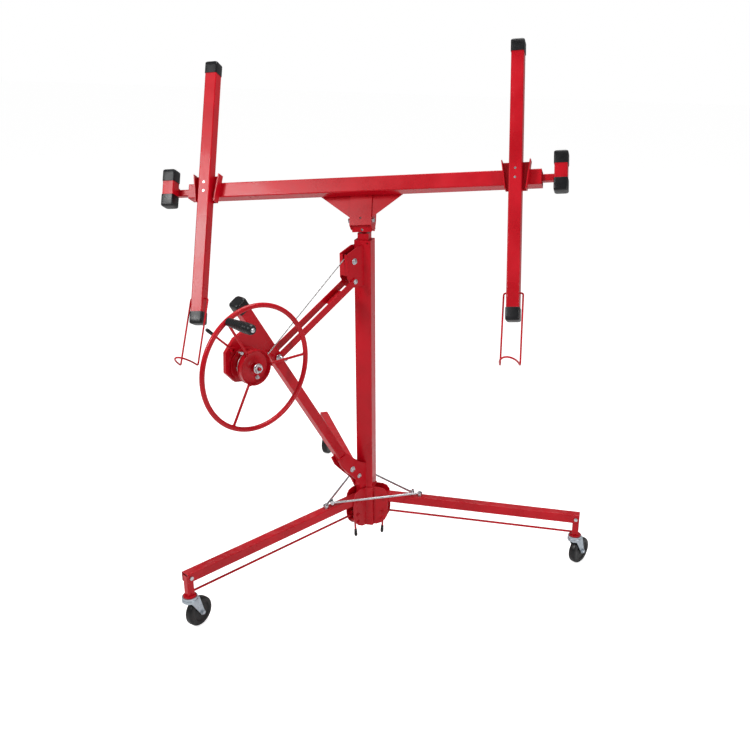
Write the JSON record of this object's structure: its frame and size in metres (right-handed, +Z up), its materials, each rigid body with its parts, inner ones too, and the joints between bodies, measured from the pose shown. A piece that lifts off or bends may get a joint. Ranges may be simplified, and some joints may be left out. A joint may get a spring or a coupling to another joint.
{
  "type": "drywall lift",
  "caption": "Rolling drywall lift with a telescoping mast, hand-wheel winch and a tilting panel cradle on folding legs.",
  "frame": {"origin": "on the floor, under the middle of the whole lift", "axes": "+Z up the mast, +X along the cradle beam to the user's right, -Y towards the user at the hand wheel"},
  "size_m": [1.6395, 1.55, 1.9219],
  "materials": {
    "red_paint": "gloss",
    "zinc_fastener": "bright zinc",
    "zinc_plate": "satin zinc",
    "black_tyre": "satin",
    "black_plastic": "satin",
    "glide_plastic": "matt",
    "steel_cable": "stranded"
  },
  "bodies": {
    "frame": {"outer_mast": "red_paint", "lower_glide": "glide_plastic", "hub": "red_paint", "frame_bolts": "zinc_fastener", "winch_foot": "red_paint", "winch_post": "red_paint", "post_cap": "black_plastic", "winch_struts": "red_paint", "upper_bracket": "red_paint", "winch_housing": "red_paint", "lift_cable": "steel_cable"},
    "middle_stage": {"mid_mast": "red_paint", "upper_glide": "glide_plastic"},
    "top_stage": {"top_mast": "red_paint", "roll_pin": "zinc_fastener"},
    "tilt_head": {"tilt_yoke": "red_paint"},
    "cradle": {"cradle_beam": "red_paint", "tilt_bracket": "red_paint", "cradle_bolts": "zinc_fastener", "arm_brackets": "red_paint", "crossarm_left": "red_paint", "crossarm_right": "red_paint", "arm_caps": "black_plastic"},
    "outrigger_left": {"outrigger_left": "red_paint", "pad_caps_left": "black_plastic"},
    "outrigger_right": {"outrigger_right": "red_paint", "pad_caps_right": "black_plastic"},
    "hook_left": {"hook_left": "red_paint"},
    "hook_right": {"hook_right": "red_paint"},
    "sheave": {"cable_sheave": "black_plastic"},
    "winch_wheel": {"hand_wheel": "red_paint", "cable_drum": "red_paint", "hub_nut": "zinc_fastener", "grip_screw": "zinc_fastener"},
    "wheel_grip": {"wheel_grip": "black_plastic"},
    "brake_lever": {"brake_lever": "red_paint"},
    "leg_left": {"leg_tube_left": "red_paint", "leg_pins_left": "zinc_fastener"},
    "post_left": {"leg_post_left": "red_paint"},
    "link_left": {"link_rod_left": "red_paint"},
    "tie_left": {"tie_rod_left": "zinc_fastener"},
    "fork_left": {"caster_fork_left": "zinc_plate"},
    "caster_left": {"caster_wheel_left": "black_tyre"},
    "lock_left": {"lock_lever_left": "red_paint"},
    "leg_right": {"leg_tube_right": "red_paint", "leg_pins_right": "zinc_fastener"},
    "post_right": {"leg_post_right": "red_paint"},
    "link_right": {"link_rod_right": "red_paint"},
    "tie_right": {"tie_rod_right": "zinc_fastener"},
    "fork_right": {"caster_fork_right": "zinc_plate"},
    "caster_right": {"caster_wheel_right": "black_tyre"},
    "lock_right": {"lock_lever_right": "red_paint"},
    "leg_rear": {"leg_tube_rear": "red_paint", "leg_pins_rear": "zinc_fastener"},
    "post_rear": {"leg_post_rear": "red_paint"},
    "link_rear": {"link_rod_rear": "red_paint"},
    "tie_rear": {"tie_rod_rear": "zinc_fastener"},
    "fork_rear": {"caster_fork_rear": "zinc_plate"},
    "caster_rear": {"caster_wheel_rear": "black_tyre"},
    "lock_rear": {"lock_lever_rear": "red_paint"}
  },
  "joints": [
    {"name": "mid_rise", "type": "slide", "parent": "frame", "child": "middle_stage", "axis": [0, 0, 1], "range_m": [0, 0.78]},
    {"name": "top_rise", "type": "slide", "parent": "middle_stage", "child": "top_stage", "axis": [0, 0, 1], "range_m": [0, 0.781]},
    {"name": "roll_head", "type": "hinge", "parent": "top_stage", "child": "tilt_head", "pos_m": [-0.07, -0.03, 1.268], "axis": [0, 1, 0], "range_deg": [-5, 15]},
    {"name": "tilt_cradle", "type": "hinge", "parent": "tilt_head", "child": "cradle", "pos_m": [-0.074, -0.055, 1.3], "axis": [-0.9959, 0, -0.0906], "range_deg": [0, 63]},
    {"name": "extend_left", "type": "slide", "parent": "cradle", "child": "outrigger_left", "axis": [-0.9959, 0, -0.0906], "range_m": [0, 0.25]},
    {"name": "swing_hook_left", "type": "hinge", "parent": "cradle", "child": "hook_left", "pos_m": [-0.61259, -0.26169, 1.02829], "axis": [0.9959, 0, 0.0906], "range_deg": [-100, 140]},
    {"name": "extend_right", "type": "slide", "parent": "cradle", "child": "outrigger_right", "axis": [0.9959, 0, 0.0906], "range_m": [0, 0.25]},
    {"name": "swing_hook_right", "type": "hinge", "parent": "cradle", "child": "hook_right", "pos_m": [0.50479, -0.26169, 1.12998], "axis": [0.9959, 0, 0.0906], "range_deg": [-100, 140]},
    {"name": "turn_sheave", "type": "hinge", "parent": "frame", "child": "sheave", "pos_m": [-0.105, -0.09062, 1.161], "axis": [-0.866, 0.5, 0], "range_deg": [-1900, 10]},
    {"name": "turn_wheel", "type": "hinge", "parent": "frame", "child": "winch_wheel", "pos_m": [-0.3575, -0.52797, 0.905], "axis": [-0.866, 0.5, 0], "range_deg": [-5, 1200]},
    {"name": "spin_grip", "type": "hinge", "parent": "winch_wheel", "child": "wheel_grip", "pos_m": [-0.32933, -0.66317, 1.0834], "axis": [-0.866, 0.5, 0], "continuous": true},
    {"name": "work_brake", "type": "hinge", "parent": "frame", "child": "brake_lever", "pos_m": [-0.34679, -0.58842, 0.964], "axis": [-0.866, 0.5, 0], "range_deg": [-15, 15]},
    {"name": "fold_leg_left", "type": "hinge", "parent": "frame", "child": "leg_left", "pos_m": [-0.104, -0.08889, 0.205], "axis": [0.866, -0.5, 0], "range_deg": [0, 60]},
    {"name": "hang_post_left", "type": "hinge", "parent": "leg_left", "child": "post_left", "pos_m": [-0.485, -0.7488, 0.205], "axis": [0.866, -0.5, 0], "range_deg": [-61, 1]},
    {"name": "fold_link_left", "type": "hinge", "parent": "frame", "child": "link_left", "pos_m": [-0.104, -0.08889, 0.143], "axis": [0.866, -0.5, 0], "range_deg": [-1, 61]},
    {"name": "lift_tie_left", "type": "hinge", "parent": "leg_left", "child": "tie_left", "pos_m": [-0.162, -0.18935, 0.2335], "axis": [0.5, -0.866, 0], "range_deg": [0, 60]},
    {"name": "swivel_left", "type": "hinge", "parent": "post_left", "child": "fork_left", "pos_m": [-0.485, -0.7488, 0.135], "axis": [0, 0, 1], "continuous": true},
    {"name": "roll_left", "type": "hinge", "parent": "fork_left", "child": "caster_left", "pos_m": [-0.47393, -0.71665, 0.052], "axis": [-0.9455, 0.3256, 0], "continuous": true},
    {"name": "lock_leg_left", "type": "hinge", "parent": "frame", "child": "lock_left", "pos_m": [-0.103, -0.08716, 0.113], "axis": [0.866, -0.5, 0], "range_deg": [-25, 25]},
    {"name": "fold_leg_right", "type": "hinge", "parent": "frame", "child": "leg_right", "pos_m": [-0.002, -0.03, 0.205], "axis": [0, 1, 0], "range_deg": [-1, 61]},
    {"name": "hang_post_right", "type": "hinge", "parent": "leg_right", "child": "post_right", "pos_m": [0.76, -0.03, 0.205], "axis": [0, 1, 0], "range_deg": [-61, 1]},
    {"name": "fold_link_right", "type": "hinge", "parent": "frame", "child": "link_right", "pos_m": [-0.002, -0.03, 0.143], "axis": [0, 1, 0], "range_deg": [-1, 61]},
    {"name": "lift_tie_right", "type": "hinge", "parent": "leg_right", "child": "tie_right", "pos_m": [0.114, -0.03, 0.2335], "axis": [0.5, 0.866, 0], "range_deg": [0, 60]},
    {"name": "swivel_right", "type": "hinge", "parent": "post_right", "child": "fork_right", "pos_m": [0.76, -0.03, 0.135], "axis": [0, 0, 1], "continuous": true},
    {"name": "roll_right", "type": "hinge", "parent": "fork_right", "child": "caster_right", "pos_m": [0.77751, -0.00086, 0.052], "axis": [-0.8572, 0.515, 0], "continuous": true},
    {"name": "lock_leg_right", "type": "hinge", "parent": "frame", "child": "lock_right", "pos_m": [-0.004, -0.03, 0.113], "axis": [0, 1, 0], "range_deg": [-25, 25]},
    {"name": "fold_leg_rear", "type": "hinge", "parent": "frame", "child": "leg_rear", "pos_m": [-0.104, 0.02889, 0.205], "axis": [-0.866, -0.5, 0], "range_deg": [-1, 61]},
    {"name": "hang_post_rear", "type": "hinge", "parent": "leg_rear", "child": "post_rear", "pos_m": [-0.485, 0.6888, 0.205], "axis": [-0.866, -0.5, 0], "range_deg": [-61, 1]},
    {"name": "fold_link_rear", "type": "hinge", "parent": "frame", "child": "link_rear", "pos_m": [-0.104, 0.02889, 0.143], "axis": [-0.866, -0.5, 0], "range_deg": [-1, 61]},
    {"name": "lift_tie_rear", "type": "hinge", "parent": "leg_rear", "child": "tie_rear", "pos_m": [-0.162, 0.12935, 0.2335], "axis": [-1, 0, 0], "range_deg": [0, 60]},
    {"name": "swivel_rear", "type": "hinge", "parent": "post_rear", "child": "fork_rear", "pos_m": [-0.485, 0.6888, 0.135], "axis": [0, 0, 1], "continuous": true},
    {"name": "roll_rear", "type": "hinge", "parent": "fork_rear", "child": "caster_rear", "pos_m": [-0.48086, 0.72255, 0.052], "axis": [-0.9925, 0.1219, 0], "continuous": true},
    {"name": "lock_leg_rear", "type": "hinge", "parent": "frame", "child": "lock_rear", "pos_m": [-0.103, 0.02716, 0.113], "axis": [-0.866, -0.5, 0], "range_deg": [-25, 25]}
  ],
  "couplings": [
    {"joint": "top_rise", "follows": "mid_rise", "ratio": 1},
    {"joint": "turn_wheel", "follows": "mid_rise", "rad_per_m": 25.773},
    {"joint": "turn_sheave", "follows": "mid_rise", "rad_per_m": -38.168},
    {"joint": "hang_post_left", "follows": "fold_leg_left", "ratio": -1},
    {"joint": "fold_link_left", "follows": "fold_leg_left", "ratio": 1},
    {"joint": "fold_leg_right", "follows": "fold_leg_left", "ratio": 1},
    {"joint": "hang_post_right", "follows": "fold_leg_left", "ratio": -1},
    {"joint": "fold_link_right", "follows": "fold_leg_left", "ratio": 1},
    {"joint": "fold_leg_rear", "follows": "fold_leg_left", "ratio": 1},
    {"joint": "hang_post_rear", "follows": "fold_leg_left", "ratio": -1},
    {"joint": "fold_link_rear", "follows": "fold_leg_left", "ratio": 1}
  ]
}
